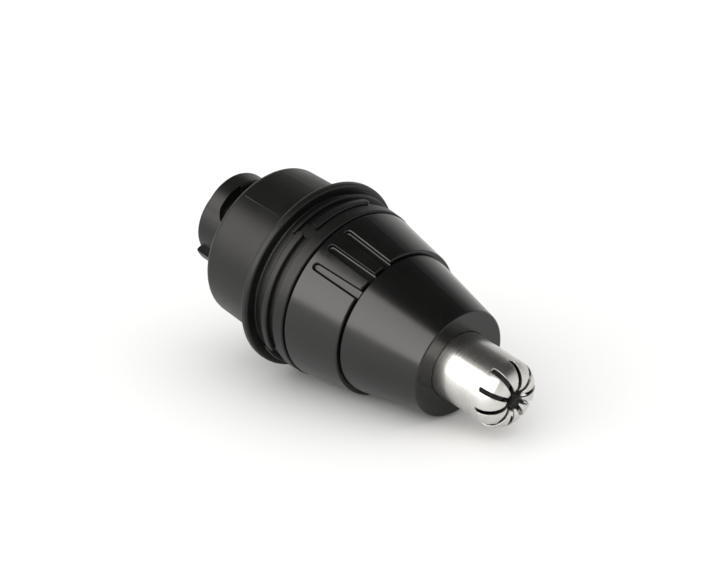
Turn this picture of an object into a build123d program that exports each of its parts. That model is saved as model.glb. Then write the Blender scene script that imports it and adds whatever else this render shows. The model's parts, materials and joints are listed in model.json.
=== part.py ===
from build123d import *
import math
import os

# Click-on nose hair trimmer head, in millimetres.
# Every piece is drawn about the head's own axis: "s" is the position along it, positive
# towards the tip and zero at the front face of the flange; "r" is the radius from it.
# Angles go round the axis. place_pieces lays the head on its flange and its nose rim.

# Outer shape
BOSS_REAR = -20.7
BOSS_RADIUS = 6.5
BOSS_BORE = 5.0
CUP_REAR = -12.4
CUP_REAR_RADIUS = 12.2
CUP_FRONT_RADIUS = 12.65
FLANGE_RADIUS = 15.0
FLANGE_THICKNESS = 1.3
FLANGE_ROUNDING = 0.45
COLLAR_RADIUS = 13.7
COLLAR_FRONT = 6.4
SLEEVE_REAR = 6.62
SLEEVE_REAR_RADIUS = 13.5
SLEEVE_FRONT = 16.19
SLEEVE_FRONT_RADIUS = 11.87
CONE_REAR = 16.4
CONE_REAR_RADIUS = 11.28
CONE_FRONT = 29.66
CONE_FRONT_RADIUS = 8.6
CONE_RIM_ROUNDING = 0.25
GUARD_RADIUS = 5.3
DOME_BASE = 39.0
SHOULDER_ROUNDING = 2.7
DOME_FRONT = DOME_BASE + SHOULDER_ROUNDING
LIP_ROUNDING = 1.6
LIP_TURN = 45

# Coupling and collar details
LUG_RADIUS = 7.5
LUG_REAR = -20.4
LUG_FRONT = -17.3
LUG_STARTS = (-57.5, 122.5)
LUG_FULL_SPAN = 54.5
LUG_RAMP_RADIUS = 6.0
RECESS_REAR = -17.7
RECESS_FRONT = -12.8
RECESS_SPAN = 34.0
RECESS_STARTS = (14.0, 194.0)
RECESS_DEPTH = 1.0
MOULD_RIB_ANGLE = 35.0
GROOVE_RADIUS = 13.2
# Each cap rib: rear position, front position, start angle, span, outer radius
CAP_RIBS = (
    (2.0, 3.25, 40.5, 84.0, 14.0),
    (3.1, 4.3, -12.0, 42.0, 14.15),
    (1.1, 1.75, -52.0, 92.0, 14.0),
)
CAP_RIB_REPEATS = 2
# Flat land between the cap ribs: rear position, front position, start angle, span
CAP_LAND = (1.95, 4.8, 31.5, 7.5)

# Grip slots of the sleeve
SLOT_ANGLES = (20.2, 35.3, 50.8)
SLOT_REAR_WIDTH = 1.2
SLOT_FRONT_WIDTH = 1.5
SLOT_DEPTH = 0.75
SLOT_REAR = 7.7
SLOT_FLARE = 0.12
SLOT_FLOOR_ROUNDING = 0.3

# Twist lock between sleeve and nose cone
SLEEVE_BORE = 10.65
SKIRT_RADIUS = 10.55
SKIRT_BORE = 9.4
SKIRT_REAR = 8.4
TWIST_LUG_RADIUS = 11.1
TWIST_LUG_REAR = 10.2
TWIST_LUG_FRONT = 11.6
TWIST_LUG_SPAN = 14.0
TWIST_TRACK_RADIUS = 11.2
TWIST_ANGLE = 25.0
TWIST_COUNT = 3
TWIST_START = 66.0

# Guard and cutter
GUARD_WALL = 0.3
GUARD_REAR = 27.6
GUARD_FLANGE_RADIUS = 6.9
GUARD_FLANGE_THICKNESS = 0.5
GUARD_SLOTS = 10
GUARD_SLOT_WIDTH = 0.75
GUARD_SLOT_REAR = 38.45
GUARD_SLOT_ANGLE = -3.5
GUARD_HOLE = 1.6
CUTTER_CLEARANCE = 0.1
CUTTER_WALL = 0.5
CUTTER_REAR = 32.1
CUTTER_RING_FRONT = 32.6
CUTTER_SPAN = 25.0
CUTTER_TIP_RADIUS = 3.0
CUTTER_ANGLE = 50.5
CUTTER_PIN_POSITION = 34.7
CUTTER_PIN_RADIUS = 0.4
HUB_WAIST_RADIUS = 2.6

# Drive line
SHAFT_RADIUS = 1.0
SHAFT_REAR = -13.1
SHAFT_FRONT = 36.6
RUNNING_CLEARANCE = 0.03
FIT_GAP = 0.02
BUSH_RADIUS = 2.0
FRONT_BUSH = (20.02, 24.0)
REAR_BUSH = (-5.58, -1.7)
THRUST_WASHER = (24.05, 24.3)
SHAFT_COLLAR = (24.35, 25.15)
SHAFT_COLLAR_RADIUS = 1.9
SHAFT_SEAL = (25.35, 26.3)
CLIP = (-6.5, -6.22)
CLIP_GROOVE = (-6.55, -6.17)
CLIP_GROOVE_RADIUS = 0.75
SPRING_REAR = -11.28
SPRING_FRONT = -6.52
SPRING_RADIUS = 1.6
SPRING_WIRE = 0.17
SPRING_TURNS = 4.5
DRIVE_PIN_POSITION = -12.4
DRIVE_PIN_RADIUS = 0.35
DRIVE_PIN_HALF_LENGTH = 2.7
SOCKET_RADIUS = 3.0
SOCKET_REAR = -18.0
SOCKET_FRONT = -10.4
SOCKET_BORE = 1.3
SOCKET_WEB = (-13.3, -11.3)
SOCKET_FLOAT = 1.5
KEYWAY_WIDTH = 0.7
KEYWAY_RADIUS = 2.0

# Inner frame and its screws
CUP_BORE = 10.9
CUP_FLOOR = -11.0
COLLAR_BORE = 11.65
COLLAR_LEDGE = 2.0
PLATE = (-3.0, -1.6)
SUPPORT_DISC = (3.65, 5.2)
SUPPORT_FRONT = 26.4
SCREW_CIRCLE = 7.9
PILLAR_RADIUS = 1.7
PLATE_SCREW_ANGLES = (30, 150, 270)
SUPPORT_SCREW_ANGLES = (90, 210, 330)
SCREW_RADIUS = 0.95
SCREW_HEAD_RADIUS = 1.7
SCREW_HEAD_HEIGHT = 0.9
SCREW_LENGTH = 5.5


def lathe(*corners):
    """Solid of revolution; each corner is (radius, position, rounding)."""
    points = [(corner[0], corner[1]) for corner in corners]
    roundings = [corner[2] if len(corner) > 2 else 0 for corner in corners]
    outline = FilletPolyline(*points, radius=roundings, close=True)
    return revolve(Plane.XZ * make_face(outline), Axis.Z)


def ring(inner, outer, rear, front, rounding=0.0):
    """Plain ring, rounded on its outer edges."""
    return lathe((inner, rear), (outer, rear, rounding), (outer, front, rounding), (inner, front))


def rod(radius, rear, front, rounding=0.0):
    """Solid cylinder on the axis."""
    return lathe((0, rear), (radius, rear, rounding), (radius, front, rounding), (0, front))


def sector(inner, outer, rear, front, start, span, rounding=0.0):
    """Part of a ring, from the start angle over the span, rounded on its outer edges."""
    corners = ((inner, rear), (outer, rear), (outer, front), (inner, front))
    outline = FilletPolyline(*corners, radius=[0, rounding, rounding, 0], close=True)
    arc = revolve(Plane.XZ * make_face(outline), Axis.Z, revolution_arc=span)
    return Rot(0, 0, start) * arc


def spoke(radius, inner, outer, position, angle):
    """Cylinder that stands radially, from the inner to the outer radius."""
    stick = Cylinder(radius, outer - inner, align=(Align.CENTER, Align.CENTER, Align.MIN))
    return Rot(0, 0, angle) * Pos(inner, 0, position) * Rot(0, 90, 0) * stick


def around(piece, radius, angles):
    """Copies of a piece, set out on a circle."""
    return [Rot(0, 0, angle) * Pos(radius, 0, 0) * piece for angle in angles]


def domed(margin, rear):
    """Solid inside the guard's outline by a margin: tube, round shoulder and inward lip."""
    middle = GUARD_RADIUS - SHOULDER_ROUNDING
    shoulder = CenterArc((middle, DOME_BASE), SHOULDER_ROUNDING - margin, 0, 90)
    lip = CenterArc((middle, DOME_FRONT - LIP_ROUNDING), LIP_ROUNDING - margin, 90, LIP_TURN)
    end = lip @ 1
    side = Polyline(end, (0, end.Y), (0, rear), (GUARD_RADIUS - margin, rear), shoulder @ 0)
    return revolve(Plane.XZ * make_face(side + shoulder + lip), Axis.Z)


def capped_rib(rear, front, start, span, outer):
    """Raised part of a ring whose two ends are rounded off."""
    half = (front - rear) / 2
    root = COLLAR_RADIUS - 0.8
    rib = sector(root, outer, rear, front, start, span, rounding=0.3)
    for angle in (start, start + span):
        rib += spoke(half - 0.01, root, outer - 0.1, (rear + front) / 2, angle)
    return rib


def base_housing():
    """Cup, flange, collar and bayonet boss, with the screw pillars inside."""
    flange_rear = -FLANGE_THICKNESS
    body = lathe(
        (BOSS_BORE, BOSS_REAR, 0.2),
        (BOSS_RADIUS, BOSS_REAR, 0.4),
        (BOSS_RADIUS, CUP_REAR, 0.4),
        (CUP_REAR_RADIUS, CUP_REAR, 1.0),
        (CUP_FRONT_RADIUS, flange_rear, 1.75),
        (FLANGE_RADIUS, flange_rear, FLANGE_ROUNDING),
        (FLANGE_RADIUS, 0, FLANGE_ROUNDING),
        (GROOVE_RADIUS, 0, 0.2),
        (GROOVE_RADIUS, 4.35, 0.2),
        (COLLAR_RADIUS + 0.05, 4.35, 0.25),
        (COLLAR_RADIUS - 0.05, COLLAR_FRONT, 0.25),
        (COLLAR_BORE, COLLAR_FRONT, 0.1),
        (COLLAR_BORE, COLLAR_LEDGE),
        (CUP_BORE, COLLAR_LEDGE),
        (CUP_BORE, CUP_FLOOR, 0.5),
        (BOSS_BORE, CUP_FLOOR),
    )
    for start in LUG_STARTS:
        body += bayonet_lug(start)
    for start in RECESS_STARTS:
        body -= bayonet_recess(start)
    for turn in range(CAP_RIB_REPEATS):
        turned = turn * 360 / CAP_RIB_REPEATS
        for rear, front, start, span, outer in CAP_RIBS:
            body += capped_rib(rear, front, start + turned, span, outer)
        rear, front, start, span = CAP_LAND
        body += sector(12.5, COLLAR_RADIUS - 0.05, rear, front, start + turned, span, 0.2)
    body += mould_rib()
    for top, angles in ((PLATE[0] - 0.05, PLATE_SCREW_ANGLES), (3.55, SUPPORT_SCREW_ANGLES)):
        height = top - CUP_FLOOR + 0.4
        pillar = Pos(0, 0, top - height / 2) * Cylinder(PILLAR_RADIUS, height)
        depth = SCREW_LENGTH + 1
        pilot = Pos(0, 0, top - depth / 2) * Cylinder(SCREW_RADIUS + FIT_GAP, depth)
        for piece in around(pillar - pilot, SCREW_CIRCLE, angles):
            body += piece
    return body


def bayonet_lug(start):
    """Lug with a square start, full height over half its length, then a slow run-out."""
    full = sector(
        BOSS_RADIUS - 0.5, LUG_RADIUS, LUG_REAR, LUG_FRONT, start, LUG_FULL_SPAN, 0.35
    )
    ramp = Pos(LUG_RADIUS - LUG_RAMP_RADIUS, 0, 0) * rod(LUG_RAMP_RADIUS, LUG_REAR, LUG_FRONT, 0.35)
    side = sector(BOSS_BORE + 0.5, LUG_RADIUS + 1, LUG_REAR - 1, LUG_FRONT + 1, 0, 80)
    return full + Rot(0, 0, start + LUG_FULL_SPAN) * (ramp & side)


def bayonet_recess(start):
    """Cutter for the pocket in front of a lug, with one round end."""
    floor = BOSS_RADIUS - RECESS_DEPTH
    half = (RECESS_FRONT - RECESS_REAR) / 2
    pocket = sector(floor, BOSS_RADIUS + 1, RECESS_REAR, RECESS_FRONT, start, RECESS_SPAN)
    end = spoke(half, 0, BOSS_RADIUS + 1, RECESS_REAR + half, start + RECESS_SPAN)
    core = Cylinder(floor, 4 * half)
    return pocket + (end - Pos(0, 0, RECESS_REAR + half) * core)


def mould_rib():
    """Fine raised line along the cup's side."""
    radius = 0.5
    height = 0.045
    length = -FLANGE_THICKNESS - CUP_REAR - 3.4
    slope = math.atan2(CUP_FRONT_RADIUS - CUP_REAR_RADIUS, -CUP_REAR)
    middle = CUP_REAR + 1.3 + length / 2
    surface = CUP_REAR_RADIUS + (middle - CUP_REAR) * math.tan(slope)
    place = Pos(surface + height - radius, 0, middle) * Rot(0, math.degrees(slope), 0)
    return Rot(0, 0, MOULD_RIB_ANGLE) * place * Cylinder(radius, length)


def grip_slot(angle):
    """Cutter for one grip slot: round at the rear, open at the front, with a flared mouth."""
    run = SLEEVE_FRONT - SLEEVE_REAR
    slope = math.atan2(SLEEVE_REAR_RADIUS - SLEEVE_FRONT_RADIUS, run)
    along = (math.sin(slope), 0, -math.cos(slope))
    outward = (math.cos(slope), 0, math.sin(slope))
    surface = Plane((SLEEVE_FRONT_RADIUS, 0, SLEEVE_FRONT), x_dir=along, z_dir=outward)
    half_rear = SLOT_REAR_WIDTH / 2
    half_front = SLOT_FRONT_WIDTH / 2
    straight = (SLEEVE_FRONT - SLOT_REAR) / math.cos(slope) - half_rear
    past_front = -1.0
    corners = [(past_front, -half_front), (straight, -half_rear)]
    corners += [(x, -y) for x, y in reversed(corners)]
    outline = make_face(Polyline(*corners, close=True))
    outline += Pos(straight, 0) * Circle(half_rear)
    slot = extrude(surface.offset(-SLOT_DEPTH) * outline, 2.0)
    floor_edges = slot.edges().sort_by(Axis(surface.origin, outward))[:5]
    slot = fillet(floor_edges, SLOT_FLOOR_ROUNDING)
    mouth = extrude(surface.offset(-SLOT_FLARE) * outline, 0.4, taper=-45)
    return Rot(0, 0, angle) * (slot + mouth)


def lock_sleeve():
    """Rear cone section, with grip slots outside and the twist-lock track inside."""
    lip = 9.8
    body = lathe(
        (lip, COLLAR_LEDGE + 0.05),
        (COLLAR_BORE - 0.05, COLLAR_LEDGE + 0.05, 0.2),
        (COLLAR_BORE - 0.05, SLEEVE_REAR),
        (SLEEVE_REAR_RADIUS, SLEEVE_REAR, 0.3),
        (SLEEVE_FRONT_RADIUS, SLEEVE_FRONT, 0.2),
        (SLEEVE_BORE, SLEEVE_FRONT),
        (SLEEVE_BORE, SUPPORT_DISC[0] - 0.05),
        (lip, SUPPORT_DISC[0] - 0.05),
    )
    for angle in SLOT_ANGLES:
        body -= grip_slot(angle)
    side_gap = 1.0
    inner = SLEEVE_BORE - 0.5
    rear = TWIST_LUG_REAR - 0.1
    for index in range(TWIST_COUNT):
        start = TWIST_START + index * 360 / TWIST_COUNT - side_gap
        sweep_span = TWIST_ANGLE + TWIST_LUG_SPAN + 2 * side_gap
        body -= sector(inner, TWIST_TRACK_RADIUS, rear, TWIST_LUG_FRONT + 0.1, start, sweep_span)
        entry_span = TWIST_LUG_SPAN + 2 * side_gap
        entry = sector(
            inner, TWIST_TRACK_RADIUS, rear, SLEEVE_FRONT + 1, start + TWIST_ANGLE, entry_span
        )
        body -= entry
    return body


def nose_cone():
    """Front cone section with its skirt, seal groove and twist lugs."""
    body = lathe(
        (SKIRT_BORE, SKIRT_REAR),
        (SKIRT_RADIUS, SKIRT_REAR, 0.1),
        (SKIRT_RADIUS, 8.93),
        (9.88, 8.93),
        (9.88, 9.67),
        (SKIRT_RADIUS, 9.67),
        (SKIRT_RADIUS, CONE_REAR),
        (CONE_REAR_RADIUS, CONE_REAR, 0.12),
        (CONE_FRONT_RADIUS, CONE_FRONT, CONE_RIM_ROUNDING),
        (GUARD_RADIUS + 0.03, CONE_FRONT, 0.15),
        (GUARD_RADIUS + 0.03, 28.15),
        (7.05, 28.15),
        (7.05, 25.5),
        (SKIRT_BORE, 17.5),
    )
    for index in range(TWIST_COUNT):
        start = TWIST_START + index * 360 / TWIST_COUNT
        root = SKIRT_RADIUS - 0.4
        lug = sector(
            root, TWIST_LUG_RADIUS, TWIST_LUG_REAR, TWIST_LUG_FRONT, start, TWIST_LUG_SPAN, 0.15
        )
        body += lug
    return body


def guard_tube():
    """Drawn steel guard with radial slots that run from the tube over its dome."""
    outer = domed(0, GUARD_REAR)
    flange = rod(GUARD_FLANGE_RADIUS, GUARD_REAR, GUARD_REAR + GUARD_FLANGE_THICKNESS)
    inner = domed(GUARD_WALL, GUARD_REAR - 1)
    body = outer + flange - inner
    body -= Pos(0, 0, DOME_FRONT) * Cylinder(GUARD_HOLE, 2)
    half = GUARD_SLOT_WIDTH / 2
    length = DOME_FRONT + 1 - GUARD_SLOT_REAR - half
    reach = GUARD_RADIUS + 1
    middle = GUARD_SLOT_REAR + half + length / 2
    blade = Pos(reach / 2, 0, middle) * Box(reach, GUARD_SLOT_WIDTH, length)
    blade += spoke(half, 1, reach, GUARD_SLOT_REAR + half, 0)
    for index in range(GUARD_SLOTS):
        body -= Rot(0, 0, GUARD_SLOT_ANGLE + index * 360 / GUARD_SLOTS) * blade
    return body


def rotary_cutter():
    """Pressed steel blade: a ring round the hub's waist and two arms that bend inwards."""
    gap = GUARD_WALL + CUTTER_CLEARANCE
    reach = GUARD_RADIUS - gap
    shell = domed(gap, CUTTER_REAR) - domed(gap + CUTTER_WALL, CUTTER_REAR - 1)
    body = ring(HUB_WAIST_RADIUS + FIT_GAP, reach, CUTTER_REAR, CUTTER_RING_FRONT)
    for side in (0, 180):
        start = CUTTER_ANGLE - CUTTER_SPAN / 2 + side
        wedge = sector(
            CUTTER_TIP_RADIUS, reach + 1, CUTTER_REAR, DOME_FRONT, start, CUTTER_SPAN
        )
        body += shell & wedge
    return body - cross_bar(CUTTER_PIN_RADIUS + FIT_GAP, 6, CUTTER_PIN_POSITION, CUTTER_ANGLE)


def cross_bar(radius, half_length, position, angle):
    """Cylinder across the axis."""
    return spoke(radius, -half_length, half_length, position, angle)


def cutter_hub():
    """Plastic carrier that the blade straddles."""
    hub_radius = GUARD_RADIUS - GUARD_WALL - CUTTER_CLEARANCE - CUTTER_WALL - 0.05
    body = lathe(
        (SHAFT_RADIUS + FIT_GAP, 30.6),
        (hub_radius, 30.6, 0.3),
        (hub_radius, 31.6, 0.2),
        (HUB_WAIST_RADIUS, 31.9, 0.15),
        (HUB_WAIST_RADIUS, 33.0, 0.15),
        (hub_radius, 33.3, 0.2),
        (hub_radius, 36.2, 0.3),
        (3.2, 37.4, 0.3),
        (SHAFT_RADIUS + FIT_GAP, 37.4),
    )
    return body - cross_bar(CUTTER_PIN_RADIUS + FIT_GAP, 6, CUTTER_PIN_POSITION, CUTTER_ANGLE)


def drive_shaft():
    """Steel shaft with a thrust collar, a clip groove and two cross holes."""
    body = rod(SHAFT_RADIUS, SHAFT_REAR, SHAFT_FRONT, 0.15)
    body += rod(SHAFT_COLLAR_RADIUS, *SHAFT_COLLAR, 0.1)
    body -= ring(CLIP_GROOVE_RADIUS, SHAFT_RADIUS + 1, *CLIP_GROOVE)
    body -= cross_bar(CUTTER_PIN_RADIUS + FIT_GAP, 6, CUTTER_PIN_POSITION, CUTTER_ANGLE)
    return body - cross_bar(DRIVE_PIN_RADIUS + FIT_GAP, 3, DRIVE_PIN_POSITION, 0)


def shaft_support():
    """Disc that clamps the sleeve, with a long snout for the front bush."""
    rear, shoulder = SUPPORT_DISC
    body = lathe(
        (4.6, rear),
        (SLEEVE_BORE - 0.1, rear),
        (SLEEVE_BORE - 0.1, shoulder, 0.2),
        (5.8, shoulder, 0.6),
        (3.6, SUPPORT_FRONT, 0.3),
        (2.6, SUPPORT_FRONT),
        (2.6, FRONT_BUSH[1]),
        (BUSH_RADIUS + FIT_GAP, FRONT_BUSH[1]),
        (BUSH_RADIUS + FIT_GAP, 20.0),
        (1.5, 20.0),
        (1.5, 18.5),
        (3.0, 18.5),
    )
    hole = Pos(0, 0, (rear + shoulder) / 2) * Cylinder(SCREW_RADIUS + 0.15, 4)
    for piece in around(hole, SCREW_CIRCLE, SUPPORT_SCREW_ANGLES):
        body -= piece
    return body


def bearing_plate():
    """Plate across the cup, with a hub for the rear bush."""
    rear, front = PLATE
    body = lathe(
        (1.5, -6.0),
        (3.2, -6.0, 0.2),
        (3.2, rear, 0.4),
        (CUP_BORE - 0.15, rear, 0.2),
        (CUP_BORE - 0.15, front, 0.2),
        (BUSH_RADIUS + FIT_GAP, front),
        (BUSH_RADIUS + FIT_GAP, -5.6),
        (1.5, -5.6),
    )
    middle = (rear + front) / 2
    screw_hole = Pos(0, 0, middle) * Cylinder(SCREW_RADIUS + 0.15, 4)
    pillar_hole = Pos(0, 0, middle) * Cylinder(PILLAR_RADIUS + 0.15, 4)
    for piece in around(screw_hole, SCREW_CIRCLE, PLATE_SCREW_ANGLES):
        body -= piece
    for piece in around(pillar_hole, SCREW_CIRCLE, SUPPORT_SCREW_ANGLES):
        body -= piece
    return body


def screws(seat, angles):
    """Three pan-head screws whose heads rest at the given position."""
    head_top = seat + SCREW_HEAD_HEIGHT
    screw = rod(SCREW_HEAD_RADIUS, seat, head_top, 0.25)
    screw += rod(SCREW_RADIUS, seat - SCREW_LENGTH, seat, 0.1)
    for turn in (0, 90):
        screw -= Rot(0, 0, turn) * Pos(0, 0, head_top) * Box(1.9, 0.4, 0.9)
    return Compound(around(screw, SCREW_CIRCLE, angles))


def retaining_clip():
    """Open ring in the shaft's groove."""
    return sector(CLIP_GROOVE_RADIUS + FIT_GAP, 1.9, *CLIP, 35, 290)


def socket_spring():
    """Compression spring between the clip and the drive socket."""
    height = SPRING_FRONT - SPRING_REAR - 2 * SPRING_WIRE - 0.06
    path = Helix(height / SPRING_TURNS, height, SPRING_RADIUS)
    wire = Plane(path @ 0, z_dir=path % 0) * Circle(SPRING_WIRE)
    return Pos(0, 0, SPRING_REAR + SPRING_WIRE + 0.03) * sweep(wire, path, is_frenet=True)


def drive_socket():
    """Sliding socket: keyed bore for the handle's spindle, slots for the drive pin."""
    web_rear, web_front = SOCKET_WEB
    body = lathe(
        (SOCKET_BORE, SOCKET_REAR, 0.15),
        (SOCKET_RADIUS, SOCKET_REAR, 0.5),
        (SOCKET_RADIUS, SOCKET_FRONT, 0.3),
        (2.15, SOCKET_FRONT),
        (2.15, web_front),
        (SHAFT_RADIUS + 0.06, web_front),
        (SHAFT_RADIUS + 0.06, web_rear),
        (SOCKET_BORE, web_rear),
    )
    pin_slot_width = 2 * DRIVE_PIN_RADIUS + 0.1
    pin_slot_rear = DRIVE_PIN_POSITION - DRIVE_PIN_RADIUS - SOCKET_FLOAT - 0.1
    pin_slot_length = SOCKET_FRONT + 1 - pin_slot_rear
    slot = Box(2 * SOCKET_RADIUS + 1, pin_slot_width, pin_slot_length)
    body -= Pos(0, 0, pin_slot_rear + pin_slot_length / 2) * slot
    key_length = pin_slot_rear - 0.3 - SOCKET_REAR
    keyway = Box(KEYWAY_WIDTH, 2 * KEYWAY_RADIUS, key_length + 1)
    return body - Pos(0, 0, SOCKET_REAR + (key_length - 1) / 2) * keyway


def cone_seal():
    """Rubber ring in the nose cone's groove."""
    section = Pos(10.25, 9.3) * Circle(0.33)
    return revolve(Plane.XZ * section, Axis.Z)


def make_pieces():
    """Every piece of the head, by name, about the head's own axis."""
    shaft_bore = SHAFT_RADIUS + RUNNING_CLEARANCE
    pin_length = GUARD_RADIUS - GUARD_WALL - CUTTER_CLEARANCE - 0.05
    return {
        "base_housing": base_housing(),
        "lock_sleeve": lock_sleeve(),
        "nose_cone": nose_cone(),
        "guard_tube": guard_tube(),
        "guard_retainer": ring(GUARD_RADIUS - GUARD_WALL + 0.05, 7.0, 25.9, 27.55, 0.1),
        "cone_seal": cone_seal(),
        "rotary_cutter": rotary_cutter(),
        "cutter_hub": cutter_hub(),
        "cutter_pin": cross_bar(CUTTER_PIN_RADIUS, pin_length, CUTTER_PIN_POSITION, CUTTER_ANGLE),
        "drive_shaft": drive_shaft(),
        "front_bush": ring(shaft_bore, BUSH_RADIUS, *FRONT_BUSH, 0.1),
        "rear_bush": ring(shaft_bore, BUSH_RADIUS, *REAR_BUSH, 0.1),
        "thrust_washer": ring(SHAFT_RADIUS + 0.05, 2.4, *THRUST_WASHER),
        "shaft_seal": ring(SHAFT_RADIUS + 0.04, 2.58, *SHAFT_SEAL, 0.1),
        "shaft_support": shaft_support(),
        "support_screws": screws(SUPPORT_DISC[1], SUPPORT_SCREW_ANGLES),
        "bearing_plate": bearing_plate(),
        "plate_screws": screws(PLATE[1], PLATE_SCREW_ANGLES),
        "retaining_clip": retaining_clip(),
        "drive_socket": drive_socket(),
        "drive_pin": cross_bar(DRIVE_PIN_RADIUS, DRIVE_PIN_HALF_LENGTH, DRIVE_PIN_POSITION, 0),
        "socket_spring": socket_spring(),
    }


def resting_tilt():
    """Angle, in radians, of the axis when flange and nose rim both touch the table."""
    slope = math.atan2(CONE_REAR_RADIUS - CONE_FRONT_RADIUS, CONE_FRONT - CONE_REAR)
    rim_radius = CONE_FRONT_RADIUS + CONE_RIM_ROUNDING * (math.tan(slope) - 1 / math.cos(slope))
    fall = FLANGE_RADIUS - FLANGE_ROUNDING - rim_radius
    run = CONE_FRONT - CONE_RIM_ROUNDING + FLANGE_ROUNDING
    extra = math.asin((FLANGE_ROUNDING - CONE_RIM_ROUNDING) / math.hypot(fall, run))
    return math.atan2(fall, run) + extra


def place_pieces(pieces):
    """Lay the head down: tip towards +X, the table at z = 0, its box centred on the origin."""
    tilt = resting_tilt()
    lying = Plane(
        (0, 0, 0),
        x_dir=(math.sin(tilt), 0, math.cos(tilt)),
        z_dir=(math.cos(tilt), 0, -math.sin(tilt)),
    )
    laid = {name: lying.location * piece for name, piece in pieces.items()}
    boxes = [piece.bounding_box() for piece in laid.values()]
    low = [min(box.min.X for box in boxes), min(box.min.Z for box in boxes)]
    high = max(box.max.X for box in boxes)
    shift = Pos(-(low[0] + high) / 2, 0, -low[1])
    print("tilt in degrees", math.degrees(tilt))
    print("flange centre", tuple(shift.position))
    return {name: shift * piece for name, piece in laid.items()}


os.makedirs("parts", exist_ok=True)
for name, piece in place_pieces(make_pieces()).items():
    export_step(piece, f"parts/{name}.step")
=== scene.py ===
import json
import math

import bpy
from mathutils import Matrix, Vector


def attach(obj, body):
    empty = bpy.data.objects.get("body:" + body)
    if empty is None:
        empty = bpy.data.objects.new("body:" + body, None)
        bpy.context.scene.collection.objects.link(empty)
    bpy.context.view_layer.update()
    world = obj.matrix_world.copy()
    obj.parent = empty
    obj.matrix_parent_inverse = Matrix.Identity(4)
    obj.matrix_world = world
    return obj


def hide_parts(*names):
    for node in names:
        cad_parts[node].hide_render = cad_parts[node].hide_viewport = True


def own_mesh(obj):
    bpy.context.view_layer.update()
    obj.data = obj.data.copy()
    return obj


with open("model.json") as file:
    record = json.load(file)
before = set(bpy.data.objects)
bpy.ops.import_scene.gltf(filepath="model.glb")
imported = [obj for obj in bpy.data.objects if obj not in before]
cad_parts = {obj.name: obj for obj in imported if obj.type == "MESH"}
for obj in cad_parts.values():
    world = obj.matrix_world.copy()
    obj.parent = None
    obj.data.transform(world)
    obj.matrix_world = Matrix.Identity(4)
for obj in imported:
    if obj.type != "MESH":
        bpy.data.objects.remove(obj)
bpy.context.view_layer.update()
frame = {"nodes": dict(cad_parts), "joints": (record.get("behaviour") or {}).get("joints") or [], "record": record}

# The head's own axis, from the joint that spins the cutter: zero is the flange's front face.
SPIN = next(joint for joint in frame["joints"] if joint["name"] == "cutter_spin")
HEAD_ZERO = Vector(SPIN["pos_m"])
HEAD_AXIS = Vector(SPIN["axis"]).normalized()
HEAD_SIDE = Vector((0, -1, 0))
HEAD_TOP = HEAD_SIDE.cross(HEAD_AXIS)

# Camera: angles in degrees, distances in metres, lens and sensor in millimetres
CAMERA_AZIMUTH = 46.13
CAMERA_ELEVATION = 20.0
CAMERA_DISTANCE = 0.7
CAMERA_LENS = 234.73
CAMERA_SENSOR = 36.0
CAMERA_CLIP = (0.05, 50.0)
CAMERA_RIGHT_OF_ZERO = 0.00579
CAMERA_BELOW_ZERO = 0.00189

# Socket spring, in metres
SPRING_NODE = "socket_spring"
SPRING_WIRE = 0.00017
SPRING_TURNS = 6
SPRING_CLOSING = 0.5
SPRING_STEPS_PER_TURN = 40
SPRING_SIDES = 12

# Floor and light: the lights' edges are (y, z) in metres, the sky's stops (height, tone)
FLOOR_SIZE = 6.0
FLOOR_TONE = 0.84
FLOOR_TINT = (1.0, 0.996, 0.985)
SOFTBOX_LOW = (-0.95, 0.02)
SOFTBOX_HIGH = (-0.38, 0.585)
SOFTBOX_WIDTH = 1.4
SOFTBOX_TONE = (1.0, 0.975, 0.94)
SOFTBOX_RADIANCE = 4.2
FILL_RADIANCE = 1.55
CEILING_NEAR = (-3.0, 1.1)
CEILING_FAR = (1.6, 1.1)
CEILING_WIDTH = 5.0
CEILING_RADIANCE = 1.1
SKY = ((0.05, 0.93), (0.25, 0.85), (0.48, 0.6), (0.66, 0.15), (0.85, 0.06))
SKY_STRENGTH = 1.0


def head_point(position, radius, angle):
    """Point in metres, from its position along the axis, its radius and its angle in degrees."""
    turn = math.radians(angle)
    around = HEAD_TOP * math.cos(turn) + HEAD_SIDE * math.sin(turn)
    return HEAD_ZERO + HEAD_AXIS * position + around * radius


def reach(node):
    """Rear and front position of a CAD node along the axis, and its greatest radius."""
    points = [vertex.co - HEAD_ZERO for vertex in frame["nodes"][node].data.vertices]
    along = [point.dot(HEAD_AXIS) for point in points]
    radii = [(point - HEAD_AXIS * place).length for point, place in zip(points, along)]
    return min(along), max(along), max(radii)


# ---------------------------------------------------------------- camera


def make_camera():
    """Long lens that looks down at the head from its front left."""
    turn = math.radians(CAMERA_AZIMUTH)
    rise = math.radians(CAMERA_ELEVATION)
    back = Vector((
        math.sin(turn) * math.cos(rise),
        -math.cos(turn) * math.cos(rise),
        math.sin(rise),
    ))
    right = Vector((math.cos(turn), math.sin(turn), 0))
    up = back.cross(right)
    data = bpy.data.cameras.new("camera")
    data.lens = CAMERA_LENS
    data.sensor_width = CAMERA_SENSOR
    data.clip_start, data.clip_end = CAMERA_CLIP
    camera = bpy.data.objects.new("camera", data)
    bpy.context.scene.collection.objects.link(camera)
    place = HEAD_ZERO + back * CAMERA_DISTANCE
    place += right * CAMERA_RIGHT_OF_ZERO - up * CAMERA_BELOW_ZERO
    turned = Matrix((right, up, back)).transposed()
    camera.matrix_world = Matrix.Translation(place) @ turned.to_4x4()
    bpy.context.scene.camera = camera


# ---------------------------------------------------------------- node helpers


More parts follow.
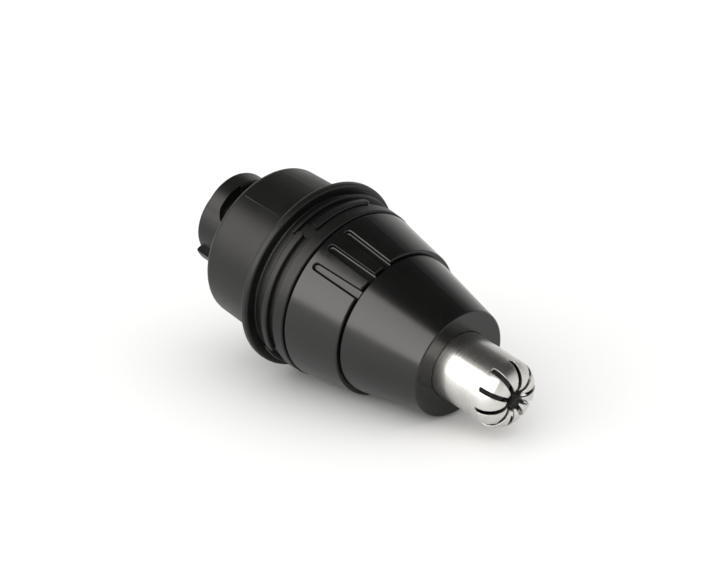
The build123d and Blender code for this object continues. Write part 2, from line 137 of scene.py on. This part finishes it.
class Nodes:
    """Short calls to build one material's node tree."""

    def __init__(self, name):
        self.material = bpy.data.materials.new(name)
        self.material.use_nodes = True
        self.tree = self.material.node_tree
        self.shader = self.tree.nodes["Principled BSDF"]
        self.place = self.head_place()

    def add(self, kind, inputs=None, **settings):
        node = self.tree.nodes.new(kind)
        for key, value in settings.items():
            setattr(node, key, value)
        for key, value in (inputs or {}).items():
            node.inputs[key].default_value = value
        return node

    def link(self, source, target):
        self.tree.links.new(source, target)

    def set(self, **values):
        for key, value in values.items():
            self.shader.inputs[key.replace("_", " ")].default_value = value

    def head_place(self):
        """Position in the head's own axes, in metres: X along the axis, Z towards its top."""
        coordinates = self.add("ShaderNodeTexCoord")
        mapping = self.add("ShaderNodeMapping", vector_type="TEXTURE")
        mapping.inputs["Location"].default_value = HEAD_ZERO
        turned = Matrix((HEAD_AXIS, -HEAD_SIDE, HEAD_TOP)).transposed()
        mapping.inputs["Rotation"].default_value = turned.to_euler()
        self.link(coordinates.outputs["Object"], mapping.inputs["Vector"])
        return mapping.outputs["Vector"]

    def math(self, operation, first, second=0.0):
        node = self.add("ShaderNodeMath", operation=operation)
        for index, value in enumerate((first, second)):
            if isinstance(value, (int, float)):
                node.inputs[index].default_value = value
            else:
                self.link(value, node.inputs[index])
        return node.outputs["Value"]

    def cylinder_place(self, along, around, outward):
        """Position as (along the axis, angle, radius), each times its own stretch."""
        split = self.add("ShaderNodeSeparateXYZ")
        self.link(self.place, split.inputs["Vector"])
        x, y, z = (split.outputs[name] for name in "XYZ")
        square = self.math("ADD", self.math("MULTIPLY", y, y), self.math("MULTIPLY", z, z))
        radius = self.math("SQRT", square)
        angle = self.math("ARCTAN2", y, z)
        joined = self.add("ShaderNodeCombineXYZ")
        for name, value, stretch in (("X", x, along), ("Y", angle, around), ("Z", radius, outward)):
            self.link(self.math("MULTIPLY", value, stretch), joined.inputs[name])
        return joined.outputs["Vector"]

    def noise(self, scale, detail=3.0, roughness=0.5, vector=None):
        node = self.add(
            "ShaderNodeTexNoise", {"Scale": scale, "Detail": detail, "Roughness": roughness}
        )
        self.link(vector or self.place, node.inputs["Vector"])
        return node.outputs["Fac"]

    def spread(self, source, low, high, low_in=0.0, high_in=1.0):
        node = self.add("ShaderNodeMapRange")
        node.inputs["From Min"].default_value = low_in
        node.inputs["From Max"].default_value = high_in
        node.inputs["To Min"].default_value = low
        node.inputs["To Max"].default_value = high
        self.link(source, node.inputs["Value"])
        return node.outputs["Result"]

    def ramp(self, source, *stops):
        node = self.add("ShaderNodeValToRGB")
        ramp = node.color_ramp
        while len(ramp.elements) < len(stops):
            ramp.elements.new(0.5)
        for element, (position, colour) in zip(ramp.elements, stops):
            element.position = position
            element.color = (*colour, 1)
        self.link(source, node.inputs["Fac"])
        return node.outputs["Color"]

    def mix(self, share, first, second):
        """Colour between two colours, by a share from 0 to 1."""
        node = self.add("ShaderNodeMix", data_type="RGBA")
        self.link(share, node.inputs["Factor"])
        for socket, value in (("A", first), ("B", second)):
            target = next(i for i in node.inputs if i.name == socket and i.type == "RGBA")
            if isinstance(value, tuple):
                target.default_value = (*value, 1)
            else:
                self.link(value, target)
        return next(o for o in node.outputs if o.type == "RGBA")

    def edges(self, radius, low, high):
        """Share from 0 to 1 that is high on outer edges of about the given radius."""
        bevel = self.add("ShaderNodeBevel", {"Radius": radius}, samples=4)
        geometry = self.add("ShaderNodeNewGeometry")
        dot = self.add("ShaderNodeVectorMath", operation="DOT_PRODUCT")
        self.link(bevel.outputs["Normal"], dot.inputs[0])
        self.link(geometry.outputs["Normal"], dot.inputs[1])
        return self.spread(dot.outputs["Value"], 1.0, 0.0, low, high)

    def bump(self, *layers, edge_radius=0.0):
        """Bump from layers of (height source, strength, distance in metres), on softened edges."""
        normal = None
        if edge_radius:
            softened = self.add("ShaderNodeBevel", {"Radius": edge_radius}, samples=6)
            normal = softened.outputs["Normal"]
        for source, strength, distance in layers:
            node = self.add("ShaderNodeBump", {"Strength": strength, "Distance": distance})
            self.link(source, node.inputs["Height"])
            if normal:
                self.link(normal, node.inputs["Normal"])
            normal = node.outputs["Normal"]
        self.link(normal, self.shader.inputs["Normal"])

    def colour(self, source):
        self.link(source, self.shader.inputs["Base Color"])

    def roughness(self, source):
        self.link(source, self.shader.inputs["Roughness"])


# ---------------------------------------------------------------- materials


def black_plastic(name, roughness, grain_strength, gloss):
    """Near-black moulded plastic: fine grain, faint flow clouds, paler worn edges and dust."""
    nodes = Nodes(name)
    nodes.set(IOR=1.5, Specular_IOR_Level=gloss)
    cloud = nodes.noise(140, detail=5, roughness=0.6)
    dust = nodes.spread(nodes.noise(2600, detail=1), 0, 1, 0.72, 0.80)
    worn = nodes.math("MULTIPLY", nodes.edges(0.00015, 0.86, 0.97), nodes.noise(900, detail=4))
    plain = nodes.ramp(cloud, (0.3, (0.0026, 0.0025, 0.0024)), (0.7, (0.0045, 0.0043, 0.004)))
    dusty = nodes.mix(nodes.math("MULTIPLY", dust, 0.05), plain, (0.30, 0.29, 0.27))
    nodes.colour(nodes.mix(nodes.math("MULTIPLY", worn, 0.5), dusty, (0.030, 0.029, 0.027)))
    smudge = nodes.noise(60, detail=6, roughness=0.65)
    nodes.roughness(nodes.spread(smudge, roughness * 0.8, roughness * 1.25, 0.3, 0.7))
    grain = nodes.noise(14000, detail=2)
    wave = nodes.noise(420, detail=2)
    nodes.bump((grain, grain_strength, 0.00001), (wave, 0.12, 0.00002))
    return nodes.material


def guard_steel():
    """Polished stainless steel with fine turning marks and a few hairline scratches."""
    nodes = Nodes("guard_steel_look")
    nodes.set(Metallic=1.0)
    cloud = nodes.noise(260, detail=5)
    nodes.colour(nodes.ramp(cloud, (0.3, (0.56, 0.55, 0.53)), (0.7, (0.66, 0.65, 0.63))))
    turning = nodes.noise(1.0, detail=3, vector=nodes.cylinder_place(60000, 1.5, 9000))
    scratches = nodes.spread(
        nodes.noise(1.0, detail=2, vector=nodes.cylinder_place(900, 160, 900)), 0, 1, 0.66, 0.7
    )
    fine = nodes.spread(turning, 0.24, 0.31, 0.3, 0.7)
    nodes.roughness(nodes.math("ADD", fine, nodes.math("MULTIPLY", scratches, 0.08)))
    nodes.bump((turning, 0.12, 0.000006), (scratches, 0.1, 0.000004), edge_radius=0.00012)
    return nodes.material


def plain_metal(name, colour, roughness, along=20000, around=4):
    """Machined metal: turning marks, slight staining and bright edges."""
    nodes = Nodes(name)
    nodes.set(Metallic=1.0)
    cloud = nodes.noise(900, detail=5)
    darker = tuple(0.75 * value for value in colour)
    bright = tuple(min(1.0, 1.25 * value) for value in colour)
    stained = nodes.ramp(cloud, (0.3, darker), (0.7, colour))
    nodes.colour(nodes.mix(nodes.edges(0.0001, 0.86, 0.97), stained, bright))
    marks = nodes.noise(1.0, detail=3, vector=nodes.cylinder_place(along, around, along / 2))
    nodes.roughness(nodes.spread(marks, roughness * 0.8, roughness * 1.3, 0.3, 0.7))
    nodes.bump((marks, 0.2, 0.00001))
    return nodes.material


def sintered_bronze():
    """Sintered bronze: oily, porous and uneven."""
    nodes = Nodes("bronze_look")
    nodes.set(Metallic=1.0)
    pores = nodes.noise(7000, detail=3)
    nodes.colour(nodes.ramp(pores, (0.35, (0.22, 0.13, 0.06)), (0.6, (0.60, 0.41, 0.21))))
    nodes.roughness(nodes.spread(pores, 0.6, 0.35, 0.3, 0.7))
    nodes.bump((pores, 0.5, 0.00003))
    return nodes.material


def plain_plastic(name, colour, roughness, grain):
    """Moulded plastic: soft colour clouds, matt grain and rubbed edges."""
    nodes = Nodes(name)
    nodes.set(IOR=1.49)
    cloud = nodes.noise(300, detail=5)
    darker = tuple(0.82 * value for value in colour)
    paler = tuple(min(1.0, 1.3 * value + 0.02) for value in colour)
    clouded = nodes.ramp(cloud, (0.3, darker), (0.7, colour))
    nodes.colour(nodes.mix(nodes.edges(0.00012, 0.86, 0.97), clouded, paler))
    nodes.roughness(nodes.spread(cloud, roughness * 0.85, roughness * 1.15, 0.3, 0.7))
    nodes.bump((nodes.noise(9000, detail=2), grain, 0.00002))
    return nodes.material


def make_looks():
    """One material for each slot of the record."""
    return {
        "black_plastic": black_plastic("black_plastic_look", 0.2, 0.08, 0.45),
        "satin_plastic": black_plastic("satin_plastic_look", 0.4, 0.25, 0.3),
        "guard_steel": guard_steel(),
        "blade_steel": plain_metal("blade_steel_look", (0.52, 0.52, 0.51), 0.28),
        "shaft_steel": plain_metal("shaft_steel_look", (0.55, 0.55, 0.56), 0.22),
        "screw_steel": plain_metal("screw_steel_look", (0.50, 0.50, 0.52), 0.32),
        "bronze": sintered_bronze(),
        "grey_plastic": plain_plastic("grey_plastic_look", (0.010, 0.010, 0.011), 0.5, 0.3),
        "white_plastic": plain_plastic("white_plastic_look", (0.70, 0.68, 0.62), 0.42, 0.15),
        "rubber": plain_plastic("rubber_look", (0.012, 0.012, 0.012), 0.72, 0.4),
    }


def dress_nodes(looks):
    """Give every CAD node the look of its slot."""
    for part in frame["record"]["subparts"]:
        node = frame["nodes"][part["node"]]
        node.data.materials.clear()
        node.data.materials.append(looks[part["material_slot"]])


# ---------------------------------------------------------------- socket spring


def spring_climb(turn):
    """Share of the spring's height reached after a number of turns: flatter at both ends."""
    share = turn / SPRING_TURNS
    return share - SPRING_CLOSING * math.sin(2 * math.pi * share) / (2 * math.pi)


def make_spring(looks):
    """Coiled wire with flatter end turns, riding with the spinner."""
    rear, front, outer = reach(SPRING_NODE)
    sides = SPRING_SIDES
    height = front - rear - 2 * SPRING_WIRE
    points = []
    for step in range(SPRING_TURNS * SPRING_STEPS_PER_TURN + 1):
        turn = step / SPRING_STEPS_PER_TURN
        middle = rear + SPRING_WIRE + height * spring_climb(turn)
        for side in range(sides):
            around = 2 * math.pi * side / sides
            place = middle + SPRING_WIRE * math.sin(around)
            radius = outer - SPRING_WIRE + SPRING_WIRE * math.cos(around)
            points.append(head_point(place, radius, 360 * turn))
    last = len(points) - sides
    faces = [tuple(range(sides)), tuple(range(len(points) - 1, last - 1, -1))]
    for start in range(0, last, sides):
        for side in range(sides):
            beside = (side + 1) % sides
            here, ahead = start + side, start + sides + side
            faces.append((start + beside, here, ahead, start + sides + beside))
    mesh = bpy.data.meshes.new("coil_spring")
    mesh.from_pydata(points, [], faces)
    for face in mesh.polygons:
        face.use_smooth = len(face.vertices) == 4
    spring = bpy.data.objects.new("coil_spring", mesh)
    bpy.context.scene.collection.objects.link(spring)
    mesh.materials.append(looks["screw_steel"])
    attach(spring, "spinner")
    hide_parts(SPRING_NODE)
    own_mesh(spring)


# ---------------------------------------------------------------- floor and light


def make_floor():
    """Plain pale floor under the head."""
    half = FLOOR_SIZE / 2
    corners = [(-half, -half, 0), (half, -half, 0), (half, half, 0), (-half, half, 0)]
    mesh = bpy.data.meshes.new("floor")
    mesh.from_pydata(corners, [], [(0, 1, 2, 3)])
    floor = bpy.data.objects.new("floor", mesh)
    bpy.context.scene.collection.objects.link(floor)
    nodes = Nodes("floor_look")
    low = tuple(FLOOR_TONE * tint for tint in FLOOR_TINT)
    high = tuple(value * 1.01 for value in low)
    nodes.colour(nodes.ramp(nodes.noise(3.0), (0.0, low), (1.0, high)))
    nodes.set(Roughness=0.6, IOR=1.3)
    mesh.materials.append(nodes.material)


def light_panel(name, low_edge, high_edge, width, radiance):
    """Rectangular light between two level edges, each (y, z) in metres, facing the object."""
    low = Vector((0, *low_edge))
    high = Vector((0, *high_edge))
    rise = (high - low).normalized()
    facing = rise.cross(Vector((1, 0, 0)))
    height = (high - low).length
    data = bpy.data.lights.new(name, "AREA")
    data.shape = "RECTANGLE"
    data.size = width
    data.size_y = height
    data.energy = radiance * math.pi * width * height
    light = bpy.data.objects.new(name, data)
    bpy.context.scene.collection.objects.link(light)
    turned = Matrix((facing.cross(rise) * -1, rise, facing * -1)).transposed()
    light.matrix_world = Matrix.Translation((low + high) / 2) @ turned.to_4x4()
    return light


def make_world():
    """White near the horizon, dark overhead, so that gloss shows a dark band on top."""
    world = bpy.data.worlds.new("studio")
    bpy.context.scene.world = world
    world.use_nodes = True
    tree = world.node_tree
    background = tree.nodes["Background"]
    coordinates = tree.nodes.new("ShaderNodeTexCoord")
    split = tree.nodes.new("ShaderNodeSeparateXYZ")
    ramp = tree.nodes.new("ShaderNodeValToRGB")
    tree.links.new(coordinates.outputs["Generated"], split.inputs["Vector"])
    tree.links.new(split.outputs["Z"], ramp.inputs["Fac"])
    tree.links.new(ramp.outputs["Color"], background.inputs["Color"])
    while len(ramp.color_ramp.elements) < len(SKY):
        ramp.color_ramp.elements.new(0.5)
    for element, (height, tone) in zip(ramp.color_ramp.elements, SKY):
        element.position = height
        element.color = (tone, tone, tone * 0.985, 1)
    background.inputs["Strength"].default_value = SKY_STRENGTH


def make_light():
    """A softbox that only gloss shows, and a fill and a ceiling that only light matt surfaces."""
    left = light_panel("left_softbox", SOFTBOX_LOW, SOFTBOX_HIGH, SOFTBOX_WIDTH, SOFTBOX_RADIANCE)
    left.data.color = SOFTBOX_TONE
    left.visible_diffuse = False
    fill = light_panel("left_fill", SOFTBOX_LOW, SOFTBOX_HIGH, SOFTBOX_WIDTH, FILL_RADIANCE)
    fill.visible_glossy = False
    ceiling = light_panel("ceiling", CEILING_NEAR, CEILING_FAR, CEILING_WIDTH, CEILING_RADIANCE)
    ceiling.visible_glossy = False


make_camera()
make_floor()
make_world()
make_light()
looks = make_looks()
dress_nodes(looks)
make_spring(looks)
bpy.context.scene.view_settings.view_transform = "Standard"
